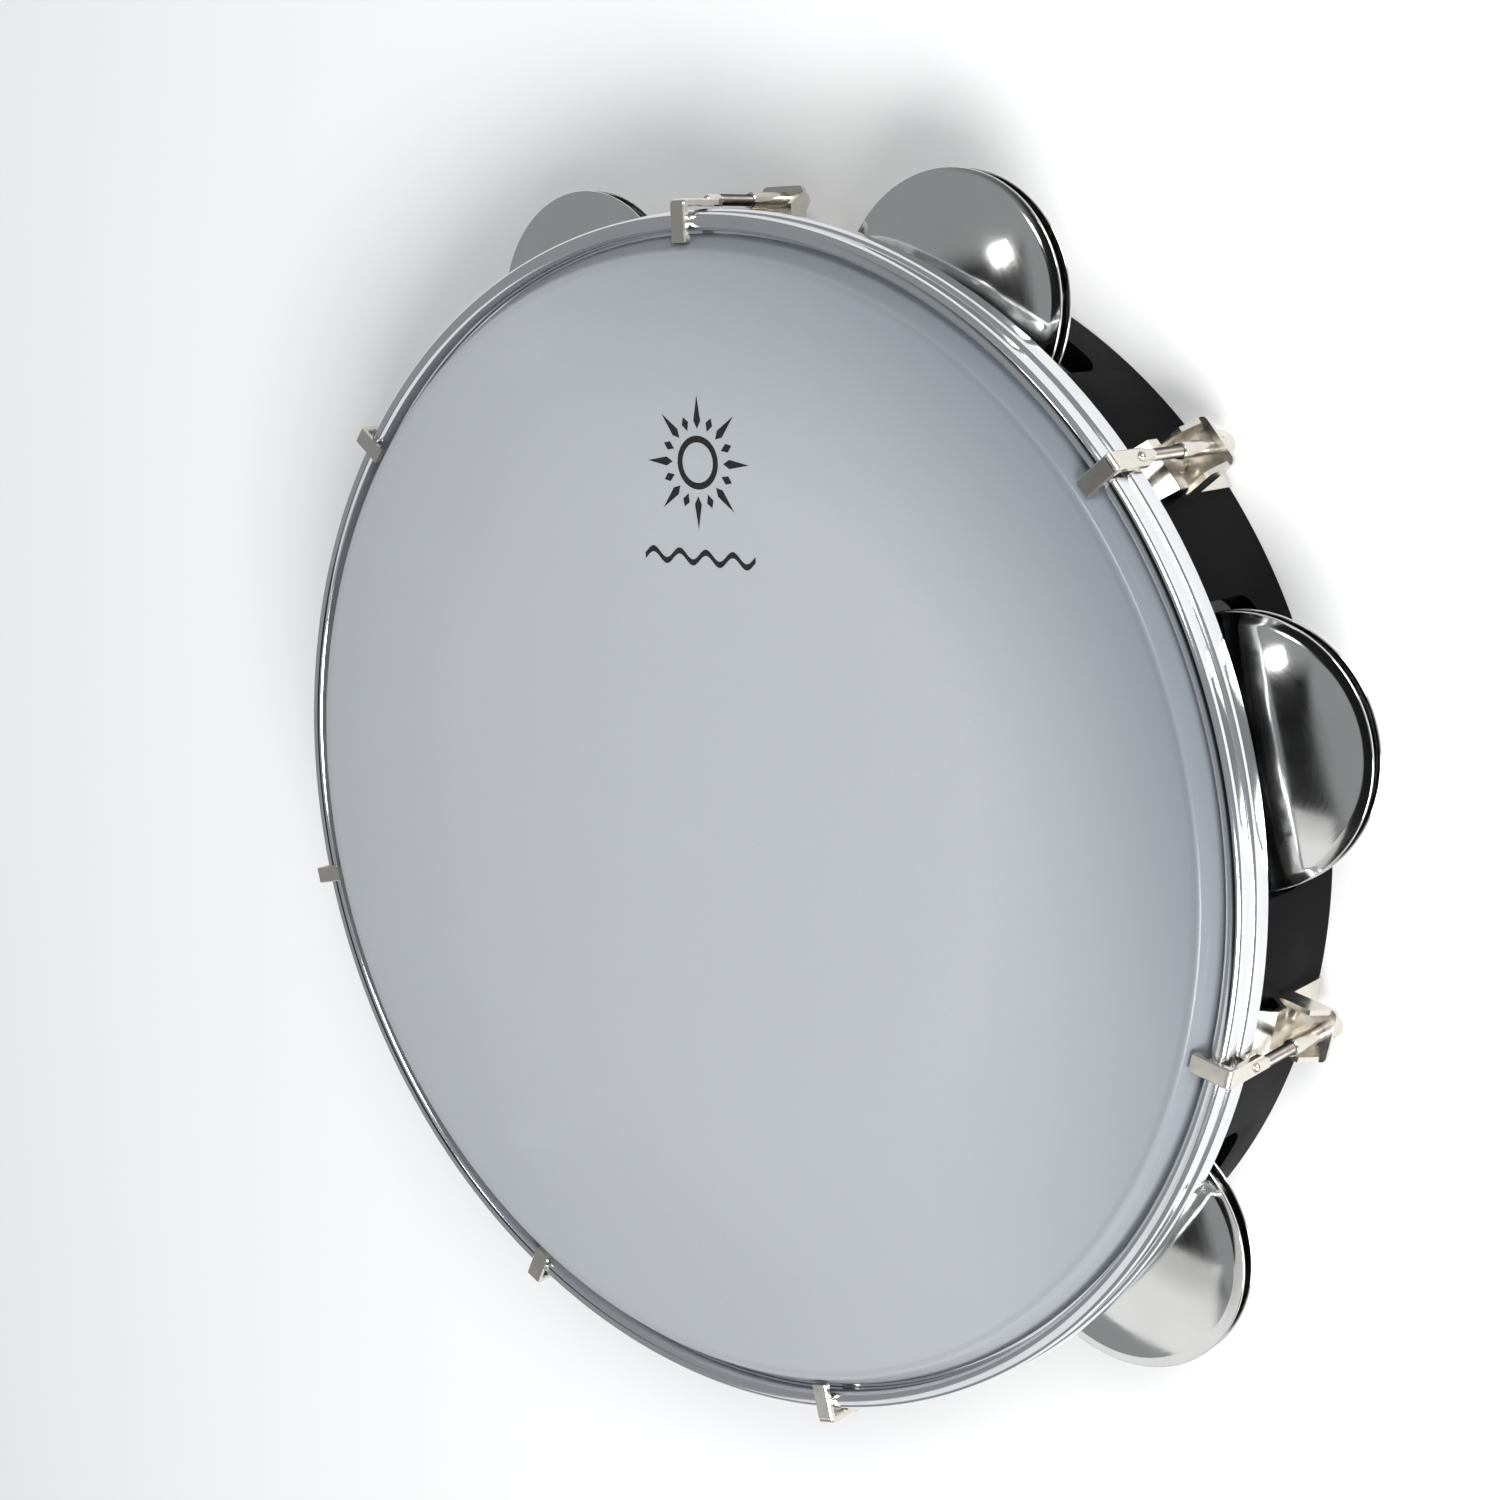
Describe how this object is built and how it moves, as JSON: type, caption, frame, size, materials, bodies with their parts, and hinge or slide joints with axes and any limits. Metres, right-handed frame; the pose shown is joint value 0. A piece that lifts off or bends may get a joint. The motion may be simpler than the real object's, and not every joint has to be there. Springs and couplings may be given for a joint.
{
  "type": "tambourine",
  "caption": "Round framed hand drum with a tuned plastic head, claw hooks on threaded rods and paired sliding jingles in the shell wall.",
  "frame": {"origin": "centre of the shell's open back rim, on the drum's axis", "axes": "+Z along the drum's axis towards the head; +X to the middle of the first jingle slot"},
  "size_m": [0.3482, 0.3432, 0.06],
  "materials": {
    "shell_plastic": "moulded, satin gloss",
    "head_film": "milky translucent polyester film",
    "hoop_chrome": "chromed steel, polished",
    "jingle_steel": "mirror-polished steel",
    "lug_nickel": "nickel-plated steel",
    "pin_steel": "bright drawn wire"
  },
  "bodies": {
    "drum": {"shell": "shell_plastic", "drumhead": "head_film", "flesh_hoop": "hoop_chrome", "counter_hoop": "hoop_chrome", "bracket_rivets": "lug_nickel", "lug_bracket_1": "lug_nickel", "lug_bracket_2": "lug_nickel", "lug_bracket_3": "lug_nickel", "lug_bracket_4": "lug_nickel", "lug_bracket_5": "lug_nickel", "lug_bracket_6": "lug_nickel", "lug_bracket_7": "lug_nickel", "jingle_pin_1": "pin_steel", "jingle_pin_2": "pin_steel", "jingle_pin_3": "pin_steel", "jingle_pin_4": "pin_steel", "jingle_pin_5": "pin_steel", "jingle_pin_6": "pin_steel"},
    "nut_1": {"tension_nut_1": "lug_nickel"},
    "hook_1": {"tension_hook_1": "lug_nickel"},
    "nut_2": {"tension_nut_2": "lug_nickel"},
    "hook_2": {"tension_hook_2": "lug_nickel"},
    "nut_3": {"tension_nut_3": "lug_nickel"},
    "hook_3": {"tension_hook_3": "lug_nickel"},
    "nut_4": {"tension_nut_4": "lug_nickel"},
    "hook_4": {"tension_hook_4": "lug_nickel"},
    "nut_5": {"tension_nut_5": "lug_nickel"},
    "hook_5": {"tension_hook_5": "lug_nickel"},
    "nut_6": {"tension_nut_6": "lug_nickel"},
    "hook_6": {"tension_hook_6": "lug_nickel"},
    "nut_7": {"tension_nut_7": "lug_nickel"},
    "hook_7": {"tension_hook_7": "lug_nickel"},
    "jingle_front_1": {"jingle_front_1": "jingle_steel"},
    "jingle_back_1": {"jingle_back_1": "jingle_steel"},
    "jingle_front_2": {"jingle_front_2": "jingle_steel"},
    "jingle_back_2": {"jingle_back_2": "jingle_steel"},
    "jingle_front_3": {"jingle_front_3": "jingle_steel"},
    "jingle_back_3": {"jingle_back_3": "jingle_steel"},
    "jingle_front_4": {"jingle_front_4": "jingle_steel"},
    "jingle_back_4": {"jingle_back_4": "jingle_steel"},
    "jingle_front_5": {"jingle_front_5": "jingle_steel"},
    "jingle_back_5": {"jingle_back_5": "jingle_steel"},
    "jingle_front_6": {"jingle_front_6": "jingle_steel"},
    "jingle_back_6": {"jingle_back_6": "jingle_steel"}
  },
  "joints": [
    {"name": "nut_turn_1", "type": "hinge", "parent": "drum", "child": "nut_1", "pos_m": [0.14557, 0.07011, 0.018], "axis": [0, 0, -1], "range_deg": [0, 1441]},
    {"name": "hook_lift_1", "type": "slide", "parent": "drum", "child": "hook_1", "axis": [0, 0, 1], "range_m": [0, 0.002]},
    {"name": "nut_turn_2", "type": "hinge", "parent": "drum", "child": "nut_2", "pos_m": [0.03595, 0.15752, 0.018], "axis": [0, 0, -1], "range_deg": [0, 1441]},
    {"name": "hook_lift_2", "type": "slide", "parent": "drum", "child": "hook_2", "axis": [0, 0, 1], "range_m": [0, 0.002]},
    {"name": "nut_turn_3", "type": "hinge", "parent": "drum", "child": "nut_3", "pos_m": [-0.10074, 0.12632, 0.018], "axis": [0, 0, -1], "range_deg": [0, 1441]},
    {"name": "hook_lift_3", "type": "slide", "parent": "drum", "child": "hook_3", "axis": [0, 0, 1], "range_m": [0, 0.002]},
    {"name": "nut_turn_4", "type": "hinge", "parent": "drum", "child": "nut_4", "pos_m": [-0.16157, 0, 0.018], "axis": [0, 0, -1], "range_deg": [0, 1441]},
    {"name": "hook_lift_4", "type": "slide", "parent": "drum", "child": "hook_4", "axis": [0, 0, 1], "range_m": [0, 0.002]},
    {"name": "nut_turn_5", "type": "hinge", "parent": "drum", "child": "nut_5", "pos_m": [-0.10074, -0.12632, 0.018], "axis": [0, 0, -1], "range_deg": [0, 1441]},
    {"name": "hook_lift_5", "type": "slide", "parent": "drum", "child": "hook_5", "axis": [0, 0, 1], "range_m": [0, 0.002]},
    {"name": "nut_turn_6", "type": "hinge", "parent": "drum", "child": "nut_6", "pos_m": [0.00439, -0.16151, 0.018], "axis": [0, 0, -1], "range_deg": [0, 1441]},
    {"name": "hook_lift_6", "type": "slide", "parent": "drum", "child": "hook_6", "axis": [0, 0, 1], "range_m": [0, 0.002]},
    {"name": "nut_turn_7", "type": "hinge", "parent": "drum", "child": "nut_7", "pos_m": [0.14557, -0.07011, 0.018], "axis": [0, 0, -1], "range_deg": [0, 1441]},
    {"name": "hook_lift_7", "type": "slide", "parent": "drum", "child": "hook_7", "axis": [0, 0, 1], "range_m": [0, 0.002]},
    {"name": "jingle_front_1_slide", "type": "slide", "parent": "drum", "child": "jingle_front_1", "axis": [0, 0, 1], "range_m": [-0.0015, 0.0002]},
    {"name": "jingle_back_1_slide", "type": "slide", "parent": "drum", "child": "jingle_back_1", "axis": [0, 0, 1], "range_m": [-0.0103, 0.0015]},
    {"name": "jingle_front_2_slide", "type": "slide", "parent": "drum", "child": "jingle_front_2", "axis": [0, 0, 1], "range_m": [-0.0015, 0.0002]},
    {"name": "jingle_back_2_slide", "type": "slide", "parent": "drum", "child": "jingle_back_2", "axis": [0, 0, 1], "range_m": [-0.0103, 0.0015]},
    {"name": "jingle_front_3_slide", "type": "slide", "parent": "drum", "child": "jingle_front_3", "axis": [0, 0, 1], "range_m": [-0.0015, 0.0091]},
    {"name": "jingle_back_3_slide", "type": "slide", "parent": "drum", "child": "jingle_back_3", "axis": [0, 0, 1], "range_m": [-0.0014, 0.0015]},
    {"name": "jingle_front_4_slide", "type": "slide", "parent": "drum", "child": "jingle_front_4", "axis": [0, 0, 1], "range_m": [-0.0015, 0.0002]},
    {"name": "jingle_back_4_slide", "type": "slide", "parent": "drum", "child": "jingle_back_4", "axis": [0, 0, 1], "range_m": [-0.0103, 0.0015]},
    {"name": "jingle_front_5_slide", "type": "slide", "parent": "drum", "child": "jingle_front_5", "axis": [0, 0, 1], "range_m": [-0.0015, 0.0002]},
    {"name": "jingle_back_5_slide", "type": "slide", "parent": "drum", "child": "jingle_back_5", "axis": [0, 0, 1], "range_m": [-0.0103, 0.0015]},
    {"name": "jingle_front_6_slide", "type": "slide", "parent": "drum", "child": "jingle_front_6", "axis": [0, 0, 1], "range_m": [-0.0015, 0.0002]},
    {"name": "jingle_back_6_slide", "type": "slide", "parent": "drum", "child": "jingle_back_6", "axis": [0, 0, 1], "range_m": [-0.0103, 0.0015]}
  ],
  "couplings": [
    {"joint": "nut_turn_1", "follows": "hook_lift_1", "rad_per_m": 12566},
    {"joint": "nut_turn_2", "follows": "hook_lift_2", "rad_per_m": 12566},
    {"joint": "nut_turn_3", "follows": "hook_lift_3", "rad_per_m": 12566},
    {"joint": "nut_turn_4", "follows": "hook_lift_4", "rad_per_m": 12566},
    {"joint": "nut_turn_5", "follows": "hook_lift_5", "rad_per_m": 12566},
    {"joint": "nut_turn_6", "follows": "hook_lift_6", "rad_per_m": 12566},
    {"joint": "nut_turn_7", "follows": "hook_lift_7", "rad_per_m": 12566}
  ]
}
